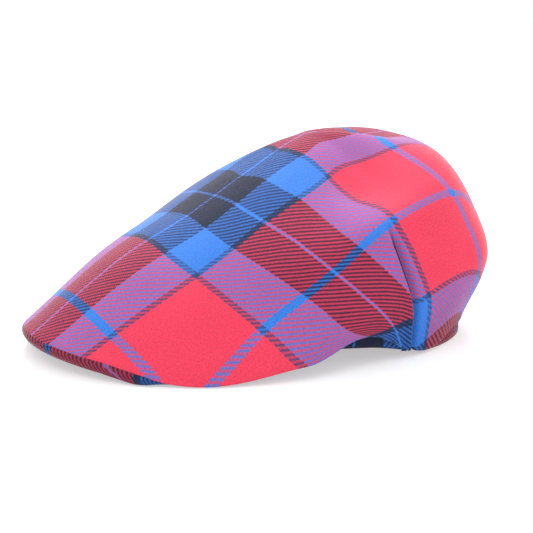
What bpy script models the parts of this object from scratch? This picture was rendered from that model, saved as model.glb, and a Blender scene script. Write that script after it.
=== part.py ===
"""Flat cap: a one-piece wool top on a stiff peak, with a band of the same cloth round the head opening.

Metres, +Z up. The peak points along -Y, the wearer's left is +X, and the cap rests on Z = 0 with
the middle of its plan on the Z axis.
"""

import math
from collections import namedtuple

import bmesh
import bpy
from mathutils import Vector

# Driving sizes, in metres.
HALF_WIDTH = 0.106        # half of the top's width, ear to ear
HALF_LENGTH = 0.129       # half of the length of the ribs' plan, front to back
CROWN_HEIGHT = 0.118      # from the table to the height that the ribs are shares of
CLOTH = 0.002             # brushed wool, with its interlining
GAP = 0.0003              # between cloth faces that lie on each other
PEAK_DEPTH = 0.058        # from the peak's tip back to the forehead curve
PEAK_BOARD = 0.0032       # board and under-cover together
PEAK_EDGE = 0.006         # height of the rolled strip under the seam at the tip
STRIP_PROUD = 0.0006      # how far that strip stands out past the top cloth
BAND_HEIGHT = 0.030
BAND_CLOTH = 0.002
FOLD_HEIGHT = 0.004       # height that the soft folds are shares of
DART_DEPTH = 0.003        # how far the cloth sinks into the dart's seam

# Fineness of the meshes.
COLUMN_STEP = 5           # degrees of rib angle between two columns
ROWS_DOWN = 18            # rows from the middle of the top down to the hem
PEAK_ROWS = 6             # rows across the peak's board
BAND_ROWS = 3             # rows up the band's face
SMALL_SHARE = 1e-4        # small step down a rib, used to find a slope
SMALL_TURN = 0.01         # small step round the cap, in degrees, used to find a slope
HEM_STEP = 0.002          # short share of a rib that gives its direction at the hem
HALVINGS = 24             # halvings of a range when a place on a rib is looked for
SHARP_ANGLE = 50          # degrees between faces from which an edge is shaded sharp

# One rib of the top for each row. The angle is in degrees from the front rib round by the wearer's
# left to the back rib. Each station is (out, up): how far out it lies from the middle of the top,
# as a share of the plan's half size, and how high, as a share of the crown's height. The stations
# lie at a quarter, a half and three quarters of the way down the rib, and at its hem.
Rib = namedtuple("Rib", "angle quarter half low hem")
RIBS = (
    Rib(0, (0.30, 0.80), (0.60, 0.62), (0.96, 0.43), (1.35, 0.13)),
    Rib(30, (0.35, 0.79), (0.70, 0.58), (1.00, 0.37), (1.26, 0.08)),
    Rib(60, (0.50, 0.77), (0.90, 0.50), (1.05, 0.26), (1.11, 0.07)),
    Rib(90, (0.50, 0.80), (0.90, 0.65), (1.00, 0.32), (0.95, 0.08)),
    Rib(120, (0.41, 0.91), (0.79, 0.80), (0.98, 0.40), (0.88, 0.08)),
    Rib(150, (0.33, 0.96), (0.66, 0.86), (0.86, 0.42), (0.76, 0.16)),
    Rib(180, (0.30, 0.98), (0.62, 0.87), (0.78, 0.44), (0.65, 0.16)),
)
RIB_STEP = 30             # degrees between two rows of the table
TOP_UP = 0.965            # height of the middle of the top, as a share of the crown's height

# The hem's own waves, alike on both sides: the rib angle in the middle of each, how many degrees it
# reaches round the cap, and its rise as a share of the crown's height.
Wave = namedtuple("Wave", "angle around rise")
WAVES = (
    Wave(43, 22, -0.06),      # down to the table at the corner of the peak
    Wave(78, 14, 0.08),       # up over the ear, where the band shows
    Wave(101, 15, -0.06),     # down again behind the dart
)
WAVE_FROM = 0.75          # share of the way down the rib where the waves begin

# Soft folds of the top, a little deeper on its left. Each is a smooth swelling, or a dip where its
# height is negative, about a rib angle and a share of the way down the rib. It fades out as many
# degrees round the cap as the third column says, and as far down the rib as the fourth.
Fold = namedtuple("Fold", "angle share around along height")
FOLDS = (
    Fold(128, 0.26, 30, 0.26, 0.85),     # crest along the left of the top
    Fold(-145, 0.34, 45, 0.24, 0.50),    # crest along the right
    Fold(170, 0.20, 44, 0.20, -1.50),    # hollow between the two crests
    Fold(84, 0.30, 24, 0.20, -0.80),     # hollow between the left side and the back
    Fold(-82, 0.30, 32, 0.24, -0.70),    # hollow on the right
    Fold(83, 0.27, 10, 0.12, -0.35),     # crease in the left hollow
    Fold(88, 0.53, 18, 0.16, 0.50),      # lip over the end of the left dart
    Fold(-88, 0.53, 18, 0.16, 0.50),     # lip over the end of the right dart
    Fold(124, 0.72, 16, 0.10, 0.40),     # roll low at the left of the back
)

# The dart is a crease that runs down from its end to the hem, one on each side.
DART_TOP = (86, 0.50)     # rib angle and share down the rib at its end
DART_FOOT = 93            # rib angle at the hem
DART_HALF = 7             # half width of the crease, in degrees of rib angle
DART_RUN_IN = 1 / 3       # share of its length over which the crease deepens

# The peak under the front of the top. The depth is a share of the peak's depth, measured in plan,
# and the edge a share of the strip's height at the tip, as far as the table leaves room for it.
Visor = namedtuple("Visor", "angle depth edge")
VISOR = (
    Visor(0, 1.0, 1.0),
    Visor(15, 0.89, 1.0),
    Visor(30, 0.66, 1.0),
    Visor(45, 0.36, 0.0),
    Visor(60, 0.06, 0.0),
)
VISOR_STEP = 15           # degrees between two rows of the table

# The band's lower edge. The foot is its height off the table, as a share of the band's height.
Hang = namedtuple("Hang", "angle foot")
HANGS = (
    Hang(60, 0.53),
    Hang(80, 0.37),
    Hang(100, 0.04),
    Hang(120, 0.0),
    Hang(140, 0.0),
    Hang(160, 0.0),
    Hang(180, 0.0),
)
HANG_STEP = 20            # degrees between two rows of the table
BAND_START = 65           # rib angle at which the band meets the end of the peak


def glide(before, start, end, after, share):
    """Smooth value between start and end, with its slopes taken from the neighbours."""
    return 0.5 * (
        2 * start
        + (end - before) * share
        + (2 * before - 5 * start + 4 * end - after) * share ** 2
        + (3 * start - before - 3 * end + after) * share ** 3
    )


def from_table(rows, step, angle, read):
    """A value read between the rows of a table that starts at rows[0].angle."""
    place = (angle - rows[0].angle) / step
    low = min(int(place), len(rows) - 2)
    before = read(rows[max(low - 1, 0)])
    after = read(rows[min(low + 2, len(rows) - 1)])
    return glide(before, read(rows[low]), read(rows[low + 1]), after, place - low)


def from_ribs(angle, read):
    """A value read between the ribs. Beyond the front and the back rib, their neighbours are mirrored."""
    place = angle / RIB_STEP
    low = min(int(place), len(RIBS) - 2)
    before = read(RIBS[abs(low - 1)])
    after = read(RIBS[min(low + 2, 2 * len(RIBS) - 4 - low)])
    return glide(before, read(RIBS[low]), read(RIBS[low + 1]), after, place - low)


def stations(angle):
    """The rib's (out, up) stations: one beyond the middle, the middle, four down, one past the hem."""
    def pair(name, side):
        return tuple(from_ribs(side, lambda rib: getattr(rib, name)[axis]) for axis in (0, 1))

    far_out, far_up = pair("quarter", 180 - angle)
    down = [pair(name, angle) for name in ("quarter", "half", "low", "hem")]
    beyond = tuple(2 * end - start for start, end in zip(down[-2], down[-1]))
    return [(-far_out, far_up), (0.0, TOP_UP)] + down + [beyond]


def bump(distance):
    """A smooth swelling of height 1 that fades out at a distance of 1 on either side."""
    return (1 - distance ** 2) ** 2 if abs(distance) < 1 else 0.0


def bare_point(angle, share):
    """Point of the top's outer face before folds. The angle runs from -180 to 180 degrees."""
    marks = stations(abs(angle))
    place = share * (len(marks) - 3)
    low = min(int(place), len(marks) - 4)
    out, up = (glide(*[mark[axis] for mark in marks[low:low + 4]], place - low) for axis in (0, 1))
    grown = max(share - WAVE_FROM, 0.0) / (1 - WAVE_FROM)
    up += grown ** 2 * sum(wave.rise * bump((abs(angle) - wave.angle) / wave.around) for wave in WAVES)
    turn = math.radians(angle)
    return Vector((
        HALF_WIDTH * out * math.sin(turn),
        -HALF_LENGTH * out * math.cos(turn),
        CROWN_HEIGHT * up,
    ))


def outward(point_at, angle, share):
    """Direction square to a surface, pointing out of the cap."""
    share = min(max(share, SMALL_SHARE), 1 - SMALL_SHARE)
    around = point_at(angle + SMALL_TURN, share) - point_at(angle - SMALL_TURN, share)
    down = point_at(angle, share + SMALL_SHARE) - point_at(angle, share - SMALL_SHARE)
    return down.cross(around).normalized()


def sink(angle, share):
    """How far the folds and the dart lift the cloth off its bare shape, or sink it."""
    side = abs(angle)
    lift = sum(
        FOLD_HEIGHT * fold.height
        * bump(((angle - fold.angle + 180) % 360 - 180) / fold.around)
        * bump((share - fold.share) / fold.along)
        for fold in FOLDS
    )
    top_angle, top_share = DART_TOP
    along = (share - top_share) / (1 - top_share)
    if along > 0:
        line = top_angle + (DART_FOOT - top_angle) * along
        deep = DART_DEPTH * min(1.0, along / DART_RUN_IN)
        lift -= deep * bump((side - line) / DART_HALF)
    return lift


def top_point(angle, share):
    """Point of the top's outer face, flattened where it would pass through the table."""
    if angle > 180:
        angle -= 360
    if angle < -180:
        angle += 360
    point = bare_point(angle, share)
    if share > SMALL_SHARE:
        point = point + outward(bare_point, angle, share) * sink(angle, share)
    point.z = max(point.z, 0.0)
    return point


def inside(angle, share, depth):
    """Point that lies a depth inside the top's outer face."""
    if share < SMALL_SHARE:
        return top_point(0, 0) - Vector((0, 0, depth))
    point = top_point(angle, share) - outward(top_point, angle, share) * depth
    point.z = max(point.z, 0.0)
    return point


def cloth_material(name, colour, roughness):
    material = bpy.data.materials.new(name)
    material.use_nodes = True
    shader = material.node_tree.nodes["Principled BSDF"]
    shader.inputs["Base Color"].default_value = (*colour, 1.0)
    shader.inputs["Roughness"].default_value = roughness
    shader.inputs["Metallic"].default_value = 0.0
    return material


def add_piece(name, mesh_data, material):
    """Turns a closed bmesh into the object of one piece, faces outward and shaded smooth."""
    bmesh.ops.recalc_face_normals(mesh_data, faces=mesh_data.faces[:])
    mesh = bpy.data.meshes.new(name)
    mesh_data.to_mesh(mesh)
    mesh_data.free()
    mesh.shade_smooth()
    mesh.set_sharp_from_angle(angle=math.radians(SHARP_ANGLE))
    mesh.materials.append(material)
    piece = bpy.data.objects.new(name, mesh)
    bpy.context.collection.objects.link(piece)
    return piece


def add_ring(mesh_data, points):
    return [mesh_data.verts.new(point) for point in points]


def join_rings(mesh_data, first, second, closed):
    """Faces between two rows of equally many points."""
    count = len(first)
    for i in range(count if closed else count - 1):
        j = (i + 1) % count
        mesh_data.faces.new((first[i], first[j], second[j], second[i]))


def swept_piece(name, sections, material):
    """A closed piece through equal closed sections, capped at both ends."""
    mesh_data = bmesh.new()
    rings = [add_ring(mesh_data, section) for section in sections]
    for first, second in zip(rings, rings[1:]):
        join_rings(mesh_data, first, second, True)
    mesh_data.faces.new(rings[0])
    mesh_data.faces.new(rings[-1])
    bmesh.ops.triangulate(mesh_data, faces=mesh_data.faces[:])
    return add_piece(name, mesh_data, material)


def crown(material):
    """The one-piece top: an outer and an inner face, closed along the hem."""
    mesh_data = bmesh.new()
    angles = range(-180, 180, COLUMN_STEP)
    shares = [row / ROWS_DOWN for row in range(1, ROWS_DOWN + 1)]
    hems = []
    for depth in (0.0, CLOTH):
        middle = mesh_data.verts.new(inside(0, 0, depth))
        rings = []
        for share in shares:
            rings.append(add_ring(mesh_data, [inside(angle, share, depth) for angle in angles]))
        for i in range(len(rings[0])):
            mesh_data.faces.new((middle, rings[0][i], rings[0][i - 1]))
        for first, second in zip(rings, rings[1:]):
            join_rings(mesh_data, first, second, True)
        hems.append(rings[-1])
    join_rings(mesh_data, hems[0], hems[1], True)
    bmesh.ops.triangulate(mesh_data, faces=mesh_data.faces[:])
    return add_piece("crown", mesh_data, material)


def share_at_depth(angle, depth):
    """Share down the rib that lies a depth in from the hem, in plan."""
    hem = top_point(angle, 1.0)
    low, high = 0.0, 1.0
    for _ in range(HALVINGS):
        middle = (low + high) / 2
        point = top_point(angle, middle)
        if math.hypot(point.x - hem.x, point.y - hem.y) > depth:
            low = middle
        else:
            high = middle
    return (low + high) / 2


def edge_share(angle):
    """Share down the rib where the peak's board ends: at the hem, or sooner where it meets the table."""
    low, high = 0.0, 1.0
    if inside(angle, high, CLOTH + GAP).z > GAP:
        return high
    for _ in range(HALVINGS):
        middle = (low + high) / 2
        if inside(angle, middle, CLOTH + GAP).z > GAP:
            low = middle
        else:
            high = middle
    return low


def peak_section(angle):
    """Closed section of the peak at one rib: from the forehead curve out to the edge, and back below."""
    side = abs(angle)
    depth = PEAK_DEPTH * from_table(VISOR, VISOR_STEP, side, lambda row: row.depth)
    edge = max(from_table(VISOR, VISOR_STEP, side, lambda row: row.edge), 0.0)
    seat = CLOTH + GAP
    end = edge_share(angle)
    back = min(share_at_depth(angle, depth), end - SMALL_SHARE)
    shares = [back + (end - back) * row / PEAK_ROWS for row in range(PEAK_ROWS + 1)]
    upper = [inside(angle, share, seat) for share in shares]
    lower = [inside(angle, share, seat + PEAK_BOARD) for share in shares]
    hem = top_point(angle, 1.0)
    down = (hem - top_point(angle, 1 - HEM_STEP)).normalized()
    out = outward(top_point, angle, 1.0).to_2d().to_3d().normalized()
    start = upper[-1] + down * GAP
    lip = hem + down * GAP + out * STRIP_PROUD
    drop = max(min(PEAK_EDGE * edge, lip.z - GAP), 0.0)
    room = max(start.z - GAP, 0.0) if end == 1.0 else 0.0
    rolled = min(2 * edge, room / PEAK_BOARD, 1.0)
    middle = lip + out * STRIP_PROUD - Vector((0, 0, drop / 2))
    toe = lip - out * STRIP_PROUD - Vector((0, 0, drop))
    face = [start.lerp(point, rolled) for point in (lip, middle, toe)]
    under = lower[-1].lerp(toe - out * PEAK_BOARD, rolled)
    section = upper + [start] + face + [under] + lower[-2::-1]
    for point in section:
        point.z = max(point.z, GAP)
    return section


def peak(material):
    """The stiff bill under the front of the top, with the strip rolled round its edge."""
    last = VISOR[-1].angle
    sections = [peak_section(angle) for angle in range(-last, last + 1, COLUMN_STEP)]
    return swept_piece("peak", sections, material)


def band_section(angle):
    """Closed section of the band at one rib: up its outer face, inside the top, and down its inner one."""
    side = min(abs(angle), 360 - abs(angle))
    foot = BAND_HEIGHT * max(from_table(HANGS, HANG_STEP, side, lambda row: row.foot), 0.0)
    square = outward(top_point, angle, 1.0).to_2d().to_3d().normalized()
    marks = [inside(angle, 1 - row / ROWS_DOWN, CLOTH + 2 * GAP) for row in range(ROWS_DOWN // 2)]
    outer = []
    for row in range(BAND_ROWS + 1):
        height = foot + BAND_HEIGHT * row / BAND_ROWS
        nearest = marks[0]
        for low, high in zip(marks, marks[1:]):
            if low.z > height:
                break
            rise = min(max((height - low.z) / max(high.z - low.z, SMALL_SHARE), 0.0), 1.0)
            mark = low.lerp(high, rise)
            if mark.dot(square) < nearest.dot(square):
                nearest = mark
        outer.append(Vector((nearest.x, nearest.y, height)))
    inner = [point - square * BAND_CLOTH for point in outer]
    return outer + inner[::-1]


def band(material):
    """The strip of cloth round the opening, from one end of the peak round the back to the other."""
    sections = [band_section(angle) for angle in range(BAND_START, 360 - BAND_START + 1, COLUMN_STEP)]
    return swept_piece("band", sections, material)


def centre_on_table(pieces):
    """Moves the cap so that the middle of its plan lies on the Z axis."""
    corners = [vertex.co for piece in pieces for vertex in piece.data.vertices]
    middle = (min(corner.y for corner in corners) + max(corner.y for corner in corners)) / 2
    for piece in pieces:
        for vertex in piece.data.vertices:
            vertex.co.y -= middle


for old in list(bpy.data.objects):
    bpy.data.objects.remove(old, do_unlink=True)

wool = cloth_material("tartan wool", (0.62, 0.10, 0.16), 0.9)
edge_wool = cloth_material("peak cover wool", (0.30, 0.10, 0.16), 0.9)
band_wool = cloth_material("band wool", (0.16, 0.16, 0.42), 0.9)
centre_on_table([crown(wool), peak(edge_wool), band(band_wool)])
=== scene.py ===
"""The looks of a flat cap in tartan wool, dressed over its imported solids.

Metres, with +Z up and the peak toward -Y.
"""

import math

import bmesh
import bpy
import numpy as np
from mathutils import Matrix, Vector


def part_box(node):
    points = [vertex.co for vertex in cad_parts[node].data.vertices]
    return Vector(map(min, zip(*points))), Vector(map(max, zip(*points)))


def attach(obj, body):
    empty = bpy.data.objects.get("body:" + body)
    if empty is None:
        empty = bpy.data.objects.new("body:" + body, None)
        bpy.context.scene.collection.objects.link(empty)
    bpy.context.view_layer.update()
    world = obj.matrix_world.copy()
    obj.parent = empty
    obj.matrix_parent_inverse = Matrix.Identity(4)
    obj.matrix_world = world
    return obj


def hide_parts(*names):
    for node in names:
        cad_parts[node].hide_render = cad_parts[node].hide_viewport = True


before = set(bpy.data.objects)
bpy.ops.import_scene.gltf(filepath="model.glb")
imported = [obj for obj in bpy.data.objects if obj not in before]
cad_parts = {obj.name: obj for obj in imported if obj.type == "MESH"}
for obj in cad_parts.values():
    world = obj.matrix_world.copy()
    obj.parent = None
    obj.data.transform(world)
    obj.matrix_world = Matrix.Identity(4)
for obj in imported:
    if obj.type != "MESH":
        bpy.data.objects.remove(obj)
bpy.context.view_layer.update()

# The top
# One piece of brushed wool twill, from the seam on the peak's edge over the head to the back of
# the neck. It is steamed over a block and shaped by one dart low on each side, where its hem
# hangs free.

MM = 0.001
HALF_WIDTH = 106 * MM
HALF_LENGTH = 129 * MM
CROWN_HEIGHT = 118 * MM
TOP_UP = 0.965            # height of the middle of the top, as a share of the crown's height
WALL = 2 * MM
RIB_STEP = 30             # degrees between the rows of the two tables below

# The block's shape, rib by rib from the front round to the back: how far out the stations lie at a
# quarter, a half, three quarters and the hem, as shares of the half sizes, and how high they lie.
BLOCK = (
    (0, (0.30, 0.60, 0.96, 1.35), (0.80, 0.62, 0.43, 0.13)),
    (30, (0.35, 0.70, 1.00, 1.26), (0.79, 0.58, 0.37, 0.08)),
    (60, (0.50, 0.90, 1.05, 1.11), (0.77, 0.50, 0.26, 0.07)),
    (90, (0.50, 0.90, 1.00, 0.95), (0.80, 0.65, 0.32, 0.08)),
    (120, (0.41, 0.79, 0.98, 0.88), (0.91, 0.80, 0.40, 0.08)),
    (150, (0.33, 0.66, 0.86, 0.76), (0.96, 0.86, 0.42, 0.16)),
    (180, (0.30, 0.62, 0.78, 0.65), (0.98, 0.87, 0.44, 0.16)),
)

# The hem's own waves: rib angle, reach round the cap in degrees, and rise as a share of the height.
WAVES = (
    (43, 22, -0.06),          # down to the table at the corner of the peak
    (78, 14, 0.08),           # up over the ear, where the band shows
    (101, 15, -0.06),         # down again behind the dart
)
WAVE_FROM = 0.75              # share of the way down the rib where the waves begin

# How the cloth lies on the block at the same stations: millimetres toward the back and toward the
# side along its threads, from the crossing of the check's middle lines.
LAY = (
    (0, (26, -18, -70, -134), (0, 0, 0, 0)),
    (30, (22, -18, -62, -109), (16, 29, 47, 75)),
    (60, (27, -9, -36, -53), (40, 80, 110, 128)),
    (90, (58, 51, 20, 0), (62, 105, 145, 171)),
    (120, (98, 114, 96, 84), (38, 89, 143, 179)),
    (150, (105, 148, 188, 206), (18, 37, 66, 86)),
    (180, (103, 150, 207, 247), (0, 0, 0, 0)),
)
LAY_MIDDLE = 68.5         # millimetres toward the back, at the middle of the top

# Soft folds: rib angle, share down the rib, how far it reaches both ways, and height. The cap lies
# a little toward its left, where the folds are deeper.
FOLDS = (
    (128, 0.26, 30, 0.26, 3.4 * MM),     # crest along the left of the top
    (-145, 0.34, 45, 0.24, 2.0 * MM),    # crest along the right
    (170, 0.20, 44, 0.20, -6.0 * MM),    # hollow between the two crests
    (84, 0.30, 24, 0.20, -3.2 * MM),     # hollow between the left side and the back
    (-82, 0.30, 32, 0.24, -2.8 * MM),    # hollow on the right
    (83, 0.27, 10, 0.12, -1.4 * MM),     # crease in the left hollow
    (88, 0.53, 18, 0.16, 2.0 * MM),      # lip over the end of the left dart
    (-88, 0.53, 18, 0.16, 2.0 * MM),     # lip over the end of the right dart
    (124, 0.72, 16, 0.10, 1.6 * MM),     # roll low at the left of the back
)

# Places where the cloth has crept over the block: rib angle, share, reach both ways, and
# millimetres toward the back and toward the wearer's left along its threads.
CREEP = (
    (88, 0.42, 13, 0.11, -3, 0),         # above the end of the left dart
    (-30, 0.80, 58, 0.60, 0, -8),        # over the tip of the peak and its right
)

# The dart's seam in the cloth's own millimetres, from its end down to the hem.
DART_BACK = 43            # its end, toward the back
DART_SIDE = 104           # its end, toward the side
DART_LEAN = 0.45          # how far the seam leans to the front, per millimetre toward the side
DART_WEDGE = 0.32         # cloth taken out, per millimetre toward the side
DART_SLIP = 0.15          # how far the cloth behind is turned to the side, per millimetre
DART_DEPTH = 6.0 * MM
DART_REACH = 5.0          # millimetres that the crease spreads on each side of the seam
DART_LIP = 1.8 * MM       # how far the front edge of the crease rolls up
DART_RUN_IN = 14          # millimetres over which it deepens
CREASE_SHADE_HALF = 0.9         # millimetres from the seam within which the cloth's colour is darkened, a painted shade for the crease
CREASE_SHADE_DARK = 0.2         # brightness of that painted crease shade, as a share

ROWS = 110                # rows down the ribs
COARSE = 2.0              # degrees between columns
FINE = 0.5                # degrees between columns near the dart
DART_SIDES = (74, 104)    # rib angles between which the columns are fine
SMALL_TURN = 0.05         # degrees, and share of a rib, over which a slope is taken
SMALL_SHARE = 0.001
WELD = 0.002 * MM         # points nearer than this are one


def glide(before, start, end, after, share):
    """Smooth value between start and end, with its slopes taken from the neighbours."""
    return 0.5 * (
        2 * start
        + (end - before) * share
        + (2 * before - 5 * start + 4 * end - after) * share ** 2
        + (3 * start - before - 3 * end + after) * share ** 3
    )


def between_ribs(rows, side, mirror):
    """Table rows read at any side angle. Past the ends they repeat, times the mirror's sign."""
    ghosts = np.vstack([mirror * rows[1], rows, mirror * rows[-2]])
    place = side / RIB_STEP
    low = np.minimum(place.astype(int), len(rows) - 2)
    share = (place - low)[:, None]
    return glide(ghosts[low], ghosts[low + 1], ghosts[low + 2], ghosts[low + 3], share)


def down_rib(table, column, side, share, middle, mirror, beyond):
    """One column of a table, at side angles and shares. Beyond is its sign across the middle."""
    rows = np.array([row[column] for row in table], float)
    here = between_ribs(rows, side, mirror)
    far = beyond * between_ribs(rows, 180 - side, mirror)[:, :1]
    marks = np.hstack([far, np.full_like(far, middle), here, 2 * here[:, -1:] - here[:, -2:-1]])
    spans = marks.shape[1] - 3
    low = np.minimum((share * spans).astype(int), spans - 1)
    line = np.arange(len(side))
    return glide(*[marks[line, low + step] for step in range(4)], share * spans - low)


def swell(distance):
    """A smooth swelling of height 1 that fades out at a distance of 1."""
    return np.where(np.abs(distance) < 1, (1 - distance ** 2) ** 2, 0.0)


def on_block(angle, share):
    """Points of the bare block, for angles from -180 to 180 and shares down the rib."""
    side = np.abs(angle)
    out = down_rib(BLOCK, 1, side, share, 0, 1, -1)
    up = down_rib(BLOCK, 2, side, share, TOP_UP, 1, 1)
    grown = np.clip((share - WAVE_FROM) / (1 - WAVE_FROM), 0, 1) ** 2
    for at, around, rise in WAVES:
        up = up + grown * rise * swell((side - at) / around)
    turn = np.radians(angle)
    across = HALF_WIDTH * out * np.sin(turn)
    along = -HALF_LENGTH * out * np.cos(turn)
    return np.stack([across, along, CROWN_HEIGHT * up], -1)


def on_cloth(angle, share):
    """Millimetres toward the back and toward the wearer's left, along the cloth's threads."""
    side = np.abs(angle)
    back = down_rib(LAY, 1, side, share, LAY_MIDDLE, 1, 1)
    left = down_rib(LAY, 2, side, share, 0, -1, -1)
    left = left * np.sign(angle)
    for at, down, around, along, pull, slip in CREEP:
        crept = swell((angle - at) / around) * swell((share - down) / along)
        back = back + pull * crept
        left = left + slip * crept
    return back, left


def square_to(points_at, angle, share):
    """Directions square to a surface, out of the cap."""
    share = np.clip(share, SMALL_SHARE, 1 - SMALL_SHARE)
    around = points_at(angle + SMALL_TURN, share) - points_at(angle - SMALL_TURN, share)
    down = points_at(angle, share + SMALL_SHARE) - points_at(angle, share - SMALL_SHARE)
    normal = np.cross(down, around)
    return normal / np.linalg.norm(normal, axis=-1, keepdims=True)


def outer_face(angle, share):
    """Points of the top's outer face, with its folds and darts, before it is centred."""
    back, left = on_cloth(angle, share)
    lift = sum(
        height * swell(((angle - at + 180) % 360 - 180) / around) * swell((share - down) / along)
        for at, down, around, along, height in FOLDS
    )
    below = np.abs(left) - DART_SIDE
    seam = back - (DART_BACK - DART_LEAN * below)
    deep = np.clip(below / DART_RUN_IN, 0, 1)
    crease = np.clip(1 - np.abs(seam) / DART_REACH, 0, 1) ** 2
    lift = lift + deep * (DART_LIP * swell((seam + DART_REACH) / DART_REACH) - DART_DEPTH * crease)
    points = on_block(angle, share) + square_to(on_block, angle, share) * lift[:, None]
    points[:, 2] = np.maximum(points[:, 2], 0)
    return points


front = outer_face(np.array([0.0]), np.array([1.0]))[0]
TO_CENTRE = np.array([0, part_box("crown")[0].y - front[1], 0])


def face_rows(rows, columns):
    """Quads between rows of points, each row closed in a ring."""
    faces = []
    for row in range(rows - 1):
        above = row * columns
        below = above + columns
        for column in range(columns):
            beside = (column + 1) % columns
            faces.append((above + column, above + beside, below + beside, below + column))
    return faces


def cloth_piece(name, points, faces, threads, material):
    """A mesh object whose threads layer holds each point's place in the cloth, in millimetres."""
    mesh = bpy.data.meshes.new(name)
    mesh.from_pydata([tuple(point) for point in points], [], faces)
    layer = mesh.uv_layers.new(name="threads")
    corners = np.zeros(len(mesh.loops), int)
    mesh.loops.foreach_get("vertex_index", corners)
    layer.data.foreach_set("uv", np.asarray(threads, float)[corners].ravel())
    welded = bmesh.new()
    welded.from_mesh(mesh)
    bmesh.ops.remove_doubles(welded, verts=welded.verts[:], dist=WELD)
    bmesh.ops.recalc_face_normals(welded, faces=welded.faces[:])
    welded.to_mesh(mesh)
    welded.free()
    mesh.shade_smooth()
    mesh.materials.append(material)
    piece = bpy.data.objects.new(name, mesh)
    bpy.context.scene.collection.objects.link(piece)
    return piece


# The check repeats every 230 threads, the same in both directions. Each stripe runs from the middle
# of the repeat outward to the thread given here.
THREAD = 0.9              # millimetres from thread to thread
REPEAT = 230              # threads
BLUE = (0.030, 0.150, 0.53)
BLACK = (0.005, 0.009, 0.031)
NAVY = (0.022, 0.040, 0.125)
RED = (0.63, 0.038, 0.080)
STRIPES = (
    (1, BLUE),            # fine line in the middle of the black
    (23, BLACK),
    (51, BLUE),
    (55, NAVY),
    (112, RED),
    (115, BLUE),          # half of the line in the middle of the red
)
NAP = 0.07                # share of the lower thread that shows through the upper one
MELT = 0.33               # how far the two threads' fibres filter each other's colour
WANDER = 1.5              # millimetres that the threads drift over a hand's width
WANDER_GRAIN = 0.03       # noise scale of that drift, per millimetre, as is each grain below
JITTER = 1.1              # millimetres that each thread strays from its neighbours
JITTER_GRAIN = 1.1
FUZZ = 1.3                # how strongly loose fibres blur which thread is on top
FIBRE_GRAIN = 1.9
FIBRE_RELIEF = 0.9        # height of the fibres, against a thread's round ridge
PATCHES = 0.2             # difference in brightness between broad patches of the cloth
PATCH_GRAIN = 0.035
TUFTS = 1.0               # difference in brightness between tufts of the nap
TUFT_GRAIN = 1.1
RELIEF = 0.35 * MM        # depth that the shading gives threads and fibres


class Nodes:
    """Short calls that add nodes to one material."""

    def __init__(self, material):
        self.tree = material.node_tree

    def add(self, kind, **values):
        node = self.tree.nodes.new(kind)
        for name, value in values.items():
            setattr(node, name, value)
        return node

    def plug(self, value, socket):
        if isinstance(value, bpy.types.NodeSocket):
            self.tree.links.new(value, socket)
        else:
            socket.default_value = value

    def math(self, operation, *values):
        node = self.add("ShaderNodeMath", operation=operation)
        for value, socket in zip(values, node.inputs):
            self.plug(value, socket)
        return node.outputs[0]

    def blend(self, share, first, second, how="MIX"):
        node = self.add("ShaderNodeMix", data_type="RGBA", blend_type=how)
        self.plug(share, node.inputs["Factor"])
        for value, socket in ((first, node.inputs["A"]), (second, node.inputs["B"])):
            self.plug(value if isinstance(value, bpy.types.NodeSocket) else (*value, 1), socket)
        return node.outputs["Result"]

    def noise(self, vector, scale, detail=2.0):
        node = self.add("ShaderNodeTexNoise")
        self.plug(vector, node.inputs["Vector"])
        node.inputs["Scale"].default_value = scale
        node.inputs["Detail"].default_value = detail
        return node.outputs["Fac"]


def stripe_colour(nodes, thread):
    """Colour of one thread, by its number."""
    shifted = nodes.math("FLOORED_MODULO", nodes.math("ADD", thread, REPEAT / 2 + 0.5), REPEAT)
    place = nodes.math("ABSOLUTE", nodes.math("SUBTRACT", shifted, REPEAT / 2))
    ramp = nodes.add("ShaderNodeValToRGB")
    ramp.color_ramp.interpolation = "CONSTANT"
    marks = ramp.color_ramp.elements
    starts = [0] + [end for end, colour in STRIPES[:-1]]
    while len(marks) < len(STRIPES):
        marks.new(1.0)
    for mark, start, (end, colour) in zip(marks, starts, STRIPES):
        mark.position = start / (REPEAT / 2)
        mark.color = (*colour, 1)
    nodes.plug(nodes.math("DIVIDE", place, REPEAT / 2), ramp.inputs["Fac"])
    return ramp.outputs["Color"]


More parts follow.
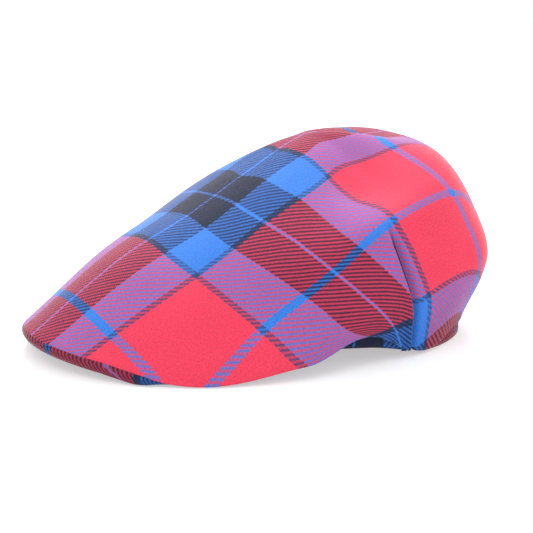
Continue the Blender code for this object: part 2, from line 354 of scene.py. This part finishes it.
def tartan_wool(name, darted, bright):
    """Brushed 2/2 twill. Darted opens the dart's wedge and paints shade along its crease, and
    bright is the share of full light.
    """
    material = bpy.data.materials.new(name)
    material.use_nodes = True
    nodes = Nodes(material)
    shader = material.node_tree.nodes["Principled BSDF"]
    place = nodes.add("ShaderNodeUVMap", uv_map="threads").outputs["UV"]
    axes = nodes.add("ShaderNodeSeparateXYZ")
    nodes.plug(place, axes.inputs[0])
    back, left = axes.outputs[0], axes.outputs[1]
    if darted:
        beside = nodes.math("SUBTRACT", nodes.math("ABSOLUTE", left), DART_SIDE)
        along_dart = nodes.math("MAXIMUM", beside, 0)
        seam = nodes.math("SUBTRACT", DART_BACK, nodes.math("MULTIPLY", along_dart, DART_LEAN))
        behind = nodes.math("GREATER_THAN", back, seam)
        wedge = nodes.math("MULTIPLY", nodes.math("MULTIPLY", along_dart, DART_WEDGE), behind)
        near = nodes.math("ABSOLUTE", nodes.math("SUBTRACT", back, seam))
        back = nodes.math("ADD", back, wedge)
        turned = nodes.math("MULTIPLY", nodes.math("MULTIPLY", along_dart, DART_SLIP), behind)
        left = nodes.math("ADD", left, nodes.math("MULTIPLY", turned, nodes.math("SIGN", left)))

    # Threads drift over the cap, and stray a little from their neighbours
    drift = nodes.math("MULTIPLY_ADD", nodes.noise(place, WANDER_GRAIN), WANDER, -WANDER / 2)
    stray = nodes.math("MULTIPLY_ADD", nodes.noise(place, JITTER_GRAIN), JITTER, -JITTER / 2)
    back = nodes.math("ADD", back, nodes.math("ADD", drift, stray))
    left = nodes.math("SUBTRACT", left, nodes.math("SUBTRACT", drift, stray))
    across = nodes.math("DIVIDE", back, THREAD)
    along = nodes.math("DIVIDE", left, THREAD)
    weft = nodes.math("FLOOR", across)
    warp = nodes.math("FLOOR", along)
    step = nodes.math("FLOORED_MODULO", nodes.math("SUBTRACT", weft, warp), 4)
    warp_on_top = nodes.math("LESS_THAN", step, 1.5)

    # The brushed nap lays fibres of both threads over each other
    fibre = nodes.noise(place, FIBRE_GRAIN, 4.0)
    fuzz = nodes.math("MULTIPLY", nodes.math("SUBTRACT", fibre, 0.5), FUZZ)
    spread = nodes.math("MULTIPLY_ADD", warp_on_top, 1 - 2 * NAP, NAP)
    share = nodes.math("ADD", spread, fuzz)
    clamp = nodes.add("ShaderNodeClamp")
    nodes.plug(share, clamp.inputs[0])
    warp_colour = stripe_colour(nodes, warp)
    weft_colour = stripe_colour(nodes, weft)
    colour = nodes.blend(clamp.outputs[0], weft_colour, warp_colour)
    through = nodes.add("ShaderNodeGamma")
    nodes.plug(nodes.blend(1.0, weft_colour, warp_colour, "MULTIPLY"), through.inputs["Color"])
    through.inputs["Gamma"].default_value = 0.5
    colour = nodes.blend(MELT, colour, through.outputs["Color"])
    patch = nodes.math("MULTIPLY_ADD", nodes.noise(place, PATCH_GRAIN), PATCHES, 1 - PATCHES / 2)
    tufts = nodes.math("MULTIPLY_ADD", nodes.noise(place, TUFT_GRAIN, 3.0), TUFTS, 1 - TUFTS / 2)
    shade = nodes.math("MULTIPLY", patch, nodes.math("MULTIPLY", tufts, bright))
    # Painted shade: a narrow dark line along the dart's crease stands in for the shadow in its
    # fold, growing as the dart deepens
    if darted:
        crease_shade_grown = nodes.math("MINIMUM", nodes.math("DIVIDE", along_dart, DART_RUN_IN), 1)
        painted_crease_shade = nodes.math("MULTIPLY", nodes.math("LESS_THAN", near, CREASE_SHADE_HALF), crease_shade_grown)
        shade = nodes.math("MULTIPLY", shade, nodes.math("MULTIPLY_ADD", painted_crease_shade, CREASE_SHADE_DARK - 1, 1))
    grey = nodes.add("ShaderNodeCombineColor")
    for socket in grey.inputs[:3]:
        nodes.plug(shade, socket)
    colour = nodes.blend(1.0, colour, grey.outputs[0], "MULTIPLY")
    nodes.plug(colour, shader.inputs["Base Color"])

    # Each thread that lies on top is a round ridge
    over_warp = nodes.math("PINGPONG", along, 0.5)
    over_weft = nodes.math("PINGPONG", across, 0.5)
    ridge = nodes.add("ShaderNodeMix", data_type="FLOAT")
    nodes.plug(warp_on_top, ridge.inputs["Factor"])
    nodes.plug(over_weft, ridge.inputs["A"])
    nodes.plug(over_warp, ridge.inputs["B"])
    height = nodes.math("ADD", ridge.outputs["Result"], nodes.math("MULTIPLY", fibre, FIBRE_RELIEF))
    bump = nodes.add("ShaderNodeBump")
    bump.inputs["Strength"].default_value = 0.5
    bump.inputs["Distance"].default_value = RELIEF
    nodes.plug(height, bump.inputs["Height"])
    nodes.plug(bump.outputs["Normal"], shader.inputs["Normal"])
    shader.inputs["Roughness"].default_value = 0.92
    shader.inputs["Specular IOR Level"].default_value = 0.25
    shader.inputs["Sheen Weight"].default_value = 0.44
    shader.inputs["Sheen Roughness"].default_value = 0.22
    shader.inputs["Sheen Tint"].default_value = (1.0, 0.94, 0.96, 1)
    return material


def walled(outer, threads, wall):
    """A wall of cloth inside its outer face, which is a grid closed in rings, with a round hem."""
    around = np.roll(outer, -1, 1) - np.roll(outer, 1, 1)
    down = np.gradient(outer, axis=0)
    square = np.cross(down, around)
    square /= np.linalg.norm(square, axis=-1, keepdims=True)
    inner = outer - square * wall
    inner[..., 2] = np.maximum(inner[..., 2], 0)
    fall = down[-1] / np.linalg.norm(down[-1], axis=-1, keepdims=True)
    middle = outer[-1] - square[-1] * wall / 2
    hem = []
    for turn in (45, 90, 135):
        reach = square[-1] * math.cos(math.radians(turn)) + fall * math.sin(math.radians(turn))
        ring = middle + reach * wall / 2
        ring[..., 2] = np.maximum(ring[..., 2], 0)
        hem.append(ring)
    return (
        np.concatenate([outer, np.array(hem), inner[::-1]]),
        np.concatenate([threads, np.repeat(threads[-1:], len(hem), 0), threads[::-1]]),
    )


sides = np.concatenate([
    np.arange(0, DART_SIDES[0], COARSE),
    np.arange(DART_SIDES[0], DART_SIDES[1], FINE),
    np.arange(DART_SIDES[1], 180, COARSE),
])
columns = np.concatenate([sides, [180], -sides[:0:-1]])
shares = np.arange(1, ROWS + 1) / ROWS
angle_grid, share_grid = np.meshgrid(columns, shares)
flat_angles, flat_shares = angle_grid.ravel(), share_grid.ravel()
outer = (outer_face(flat_angles, flat_shares) + TO_CENTRE).reshape(ROWS, len(columns), 3)
threads = np.stack(on_cloth(flat_angles, flat_shares), -1).reshape(ROWS, len(columns), 2)
shell, shell_threads = walled(outer, threads, WALL)
shell_rows = len(shell)
count = len(columns)
middle_of_top = np.array([[0, TO_CENTRE[1], CROWN_HEIGHT * TOP_UP]])
points = np.concatenate([shell.reshape(-1, 3), middle_of_top, middle_of_top - [[0, 0, WALL]]])
places = np.concatenate([shell_threads.reshape(-1, 2), [[LAY_MIDDLE, 0], [LAY_MIDDLE, 0]]])
faces = face_rows(shell_rows, count)
outside, inside = len(points) - 2, len(points) - 1
last = (shell_rows - 1) * count
for column in range(count):
    beside = (column + 1) % count
    faces.append((outside, beside, column))
    faces.append((inside, last + column, last + beside))
top_wool = tartan_wool("tartan wool", True, 1.0)
top = cloth_piece("top", points, faces, places, top_wool)
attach(top, "root")
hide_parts("crown")

# The peak
# A bent board under the front of the top. Its under-cover of the same wool is rolled up round the
# board's edge and sewn to the top there, so that a thin strip of it shows under the seam's groove.

PEAK_DEPTH = 58 * MM      # from the tip back to the forehead curve
PEAK_BOARD = 3.2 * MM
GAP = 0.3 * MM            # between faces that lie on each other
PEAK_EDGE = 6 * MM        # height of the rolled strip at the tip
STRIP_PROUD = 0.6 * MM    # how far the strip stands out past the top cloth
STRIP_ROUND = 2.6         # swelling of the strip's middle, and its tuck at the edges, against that
STRIP_TUCK = 1.2
STRIP_START = 0.08        # share of the roll that the seam's groove hides
STRIP_FULL = 0.7          # below 1 the roll is flatter in the middle
UNDER_TURNS = (0.5, 0.7)  # lengths of the two turns under the board, against the board's thickness
UNDER_DROP = 0.3 * MM
VISOR_STEP = 15           # degrees between the rows of the table

# Rib angle, depth as a share of the peak's, and height of the strip as a share of that at the tip
VISOR = (
    (0, 1.0, 1.0),
    (15, 0.89, 1.0),
    (30, 0.66, 1.0),
    (45, 0.36, 0.0),
    (60, 0.06, 0.0),
)
PEAK_END = 60
PEAK_STEP = 1.0           # degrees between sections
BOARD_FROM = 0.3          # share down the rib from which the board's back edge is looked for
BOARD_PLACES = 281        # places looked at along the rib
BOARD_ROWS = 14
STRIP_ROWS = 8
COVER_BACK = 18           # place of the tip in the cover's check, in millimetres
COVER_LEFT = 81.5
COVER_EASE = 0.8          # how far the cover is eased in toward the back
COVER_BRIGHT = 0.68       # it faces down and lies in shade


def visor_value(column, side):
    """A column of the visor's table at one side angle."""
    place = side / VISOR_STEP
    low = min(int(place), len(VISOR) - 2)
    marks = [VISOR[min(max(low + step, 0), len(VISOR) - 1)][column] for step in (-1, 0, 1, 2)]
    return glide(*marks, place - low)


def hem_line(angle, shares):
    """Outer points and outward directions along one rib."""
    angles = np.full(len(shares), float(angle))
    points = outer_face(angles, shares) + TO_CENTRE
    return points, square_to(outer_face, angles, shares)


def along_line(line, picks):
    """Points of a line at places that may lie between its own points."""
    places = np.arange(len(line))
    return np.stack([np.interp(picks, places, line[:, axis]) for axis in range(3)], -1)


def peak_section(angle):
    """Closed section of the peak: out along the board's top, round its edge, and back below."""
    side = abs(angle)
    depth = PEAK_DEPTH * visor_value(1, side)
    edge = max(visor_value(2, side), 0.0)
    shares = np.linspace(BOARD_FROM, 1.0, BOARD_PLACES)
    points, square = hem_line(angle, shares)
    seat = points - square * (WALL + GAP)
    clear = seat[:, 2] > GAP
    end = len(shares) - 1 if clear[-1] else int(np.nonzero(clear)[0].max())
    plan = np.linalg.norm(points[:, :2] - points[-1, :2], axis=1)
    back = min(int(np.nonzero(plan > depth)[0].max()), end - 1)
    picks = np.linspace(back, end, BOARD_ROWS + 1)
    board_top = along_line(seat, picks)
    board_low = along_line(seat - square * PEAK_BOARD, picks)
    hem = points[-1]
    fall = points[-1] - points[-2]
    fall /= np.linalg.norm(fall)
    out = square[-1] * [1, 1, 0]
    out /= np.linalg.norm(out)
    start = board_top[-1] + fall * GAP
    drop = max(min(PEAK_EDGE * edge, hem[2] + fall[2] * GAP - GAP), 0.0)
    room = max(start[2] - GAP, 0.0) if clear[-1] else 0.0
    rolled = min(2 * edge, room / PEAK_BOARD, 1.0)
    strip = []
    for step in range(STRIP_ROWS + 1):
        share = step / STRIP_ROWS
        rounding = math.sin(math.pi * min(share + STRIP_START, 1.0)) ** STRIP_FULL
        bulge = STRIP_PROUD * (STRIP_ROUND * rounding - STRIP_TUCK)
        strip.append(hem + fall * GAP + out * bulge - np.array([0, 0, drop * share]))
    strip.append(strip[-1] - out * PEAK_BOARD * UNDER_TURNS[0] - np.array([0, 0, UNDER_DROP]))
    strip.append(strip[-1] - out * PEAK_BOARD * UNDER_TURNS[1])
    strip = [start + (point - start) * rolled for point in strip]
    section = np.array(list(board_top) + [start] + strip + list(board_low[-2::-1]))
    section[:, 2] = np.maximum(section[:, 2], GAP)
    return section


def bar_faces(sections):
    """Faces of a bar that runs through closed sections, with its two ends."""
    count, around = sections.shape[:2]
    first = tuple(range(around))[::-1]
    last = tuple(range((count - 1) * around, count * around))
    return face_rows(count, around) + [first, last]


angles = np.arange(-PEAK_END, PEAK_END + PEAK_STEP / 2, PEAK_STEP)
sections = np.array([peak_section(angle) for angle in angles])
height_of = np.maximum(sections[:, BOARD_ROWS + 1:BOARD_ROWS + 2, 2] - sections[..., 2], 0)
tip = sections[len(angles) // 2, BOARD_ROWS + 2]
under = np.arange(sections.shape[1]) > BOARD_ROWS
rolled_back = np.where(under, np.minimum(height_of, PEAK_EDGE), 0)
rim = sections[:, BOARD_ROWS + 2]
rim_steps = np.linalg.norm(np.diff(rim[:, :2], axis=0), axis=1)
rim_length = np.concatenate([[0], np.cumsum(rim_steps)])
rim_length -= rim_length[len(angles) // 2]
cover_back = (COVER_EASE * (tip[1] - sections[..., 1]) + rolled_back) / MM + COVER_BACK
cover_left = (sections[..., 0] - rim[:, None, 0] + rim_length[:, None]) / MM + COVER_LEFT
cover_threads = np.stack([cover_back, cover_left], -1).reshape(-1, 2)
faces = bar_faces(sections)
cover_wool = tartan_wool("peak cover wool", False, COVER_BRIGHT)
peak = cloth_piece("peak_cover", sections.reshape(-1, 3), faces, cover_threads, cover_wool)
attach(peak, "root")
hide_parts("peak")

# The band
# A straight strip of the same wool, turned and sewn inside the hem from one corner of the peak
# round the back to the other. It shows under the top's side and at the back of the neck.

BAND_HEIGHT = 30 * MM
BAND_WALL = 2 * MM
BAND_START = 65           # rib angle at the end of the peak
BAND_STEP = 1.0           # degrees between sections
BAND_ROWS = 12
BAND_FROM = 0.5           # share down the rib from which the seat on the top's inside is looked for
BAND_PLACES = 101         # places looked at along the rib
BAND_BRIGHT = 0.8         # it hangs in the shade of the hem

# Height of the lower edge off the table, as a share of the band's height, at ribs 60, 80, 100
# and on
HANG_FIRST = 60
HANG_STEP = 20
HANGS = (0.53, 0.37, 0.04, 0.0, 0.0, 0.0, 0.0)
BAND_MARK_RIB = 95        # the check's dark stripe crosses the band at this rib
BAND_MARK = 47.5
BAND_DEEP = 6             # place of the lower edge in the check's cross stripes, in millimetres


def hang_at(side):
    """Height of the band's lower edge at one side angle."""
    place = (side - HANG_FIRST) / HANG_STEP
    low = min(int(place), len(HANGS) - 2)
    marks = [HANGS[min(max(low + step, 0), len(HANGS) - 1)] for step in (-1, 0, 1, 2)]
    return BAND_HEIGHT * max(glide(*marks, place - low), 0.0)


def band_section(angle):
    """Closed section of the band: up its outer face, over its top, and down its inner face."""
    side = min(abs(angle), 360 - abs(angle))
    turned = angle if angle <= 180 else angle - 360
    shares = np.linspace(BAND_FROM, 1.0, BAND_PLACES)[::-1]
    points, square = hem_line(turned, shares)
    seat = points - square * (WALL + 2 * GAP)
    out = square[0] * [1, 1, 0]
    out /= np.linalg.norm(out)
    heights = hang_at(side) + BAND_HEIGHT * np.linspace(0, 1, BAND_ROWS + 1)
    outer = []
    reach = seat[0] @ out
    for height in heights:
        near = seat[np.argmin(np.abs(seat[:, 2] - height))] if height > seat[0, 2] else seat[0]
        if near @ out < reach:
            reach = near @ out
        outer.append(seat[0] * [1, 1, 0] + out * (reach - seat[0] @ out) + np.array([0, 0, height]))
    outer = np.array(outer)
    return np.concatenate([outer, outer[::-1] - out * BAND_WALL])


angles = np.arange(BAND_START, 360 - BAND_START + BAND_STEP / 2, BAND_STEP)
sections = np.array([band_section(angle) for angle in angles])
steps = np.linalg.norm(np.diff(sections[:, 0, :2], axis=0), axis=1) / MM
length = np.concatenate([[0], np.cumsum(steps)])
mark = int((BAND_MARK_RIB - BAND_START) / BAND_STEP)
run = length - length[mark] + BAND_MARK
band_left = np.repeat(run[:, None], sections.shape[1], 1)
band_back = (sections[..., 2] - sections[:, :1, 2]) / MM + BAND_DEEP
band_threads = np.stack([band_back, band_left], -1).reshape(-1, 2)
faces = bar_faces(sections)
band_wool = tartan_wool("band wool", False, BAND_BRIGHT)
band = cloth_piece("band_cloth", sections.reshape(-1, 3), faces, band_threads, band_wool)
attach(band, "root")
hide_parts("band")

# The studio
# A plain pale floor that runs far back, soft light from all round, and a camera at the front left.

bpy.context.scene.view_settings.view_transform = "Standard"
world = bpy.data.worlds.new("studio air")
bpy.context.scene.world = world
world.use_nodes = True
world.node_tree.nodes["Background"].inputs["Color"].default_value = (1, 1, 1, 1)
world.node_tree.nodes["Background"].inputs["Strength"].default_value = 1.0

floor_mesh = bpy.data.meshes.new("floor")
FLOOR_HALF = 60.0
FLOOR_DROP = 0.5 * MM       # just below the cap, so that no two faces lie together
corners = [(x * FLOOR_HALF, y * FLOOR_HALF, 0) for x, y in ((-1, -1), (1, -1), (1, 1), (-1, 1))]
floor_mesh.from_pydata(corners, [], [(0, 1, 2, 3)])
floor = bpy.data.objects.new("floor", floor_mesh)
bpy.context.scene.collection.objects.link(floor)
floor_paint = bpy.data.materials.new("pale floor")
floor_paint.use_nodes = True
paint = floor_paint.node_tree.nodes["Principled BSDF"]
paint.inputs["Base Color"].default_value = (0.6, 0.6, 0.6, 1)
paint.inputs["Roughness"].default_value = 0.9
paint.inputs["Emission Color"].default_value = (1, 1, 1, 1)
paint.inputs["Emission Strength"].default_value = 0.45
floor_mesh.materials.append(floor_paint)
floor.location.z = -FLOOR_DROP


CAP_MIDDLE = Vector((0, 0, 0.05))


def soft_light(name, place, size, watts):
    """A square area light that points at the middle of the cap."""
    lamp = bpy.data.lights.new(name, "AREA")
    lamp.shape = "SQUARE"
    lamp.size = size
    lamp.energy = watts
    light = bpy.data.objects.new(name, lamp)
    bpy.context.scene.collection.objects.link(light)
    light.location = place
    aim = CAP_MIDDLE - Vector(place)
    light.rotation_euler = aim.to_track_quat("-Z", "Y").to_euler()


soft_light("key light", (0.9, -0.9, 1.6), 1.2, 10)
soft_light("front light", (1.6, -0.2, 0.6), 1.0, 5)
soft_light("back light", (-0.8, 0.5, 1.2), 1.0, 40)

VIEW_TURN = 60.3          # degrees from the front round to the wearer's left
VIEW_RISE = 13.1          # degrees above the table
VIEW_DISTANCE = 0.643
AIM = Vector((0.0048, 0.0084, 0.0366))
turn, rise = math.radians(VIEW_TURN), math.radians(VIEW_RISE)
level = math.cos(rise)
toward = Vector((-math.sin(turn) * level, math.cos(turn) * level, -math.sin(rise)))
lens = bpy.data.cameras.new("camera")
lens.sensor_width = 36
lens.lens = 72.6
lens.clip_start = 0.01
camera = bpy.data.objects.new("camera", lens)
bpy.context.scene.collection.objects.link(camera)
camera.location = AIM - toward * VIEW_DISTANCE
camera.rotation_euler = toward.to_track_quat("-Z", "Y").to_euler()
bpy.context.scene.camera = camera
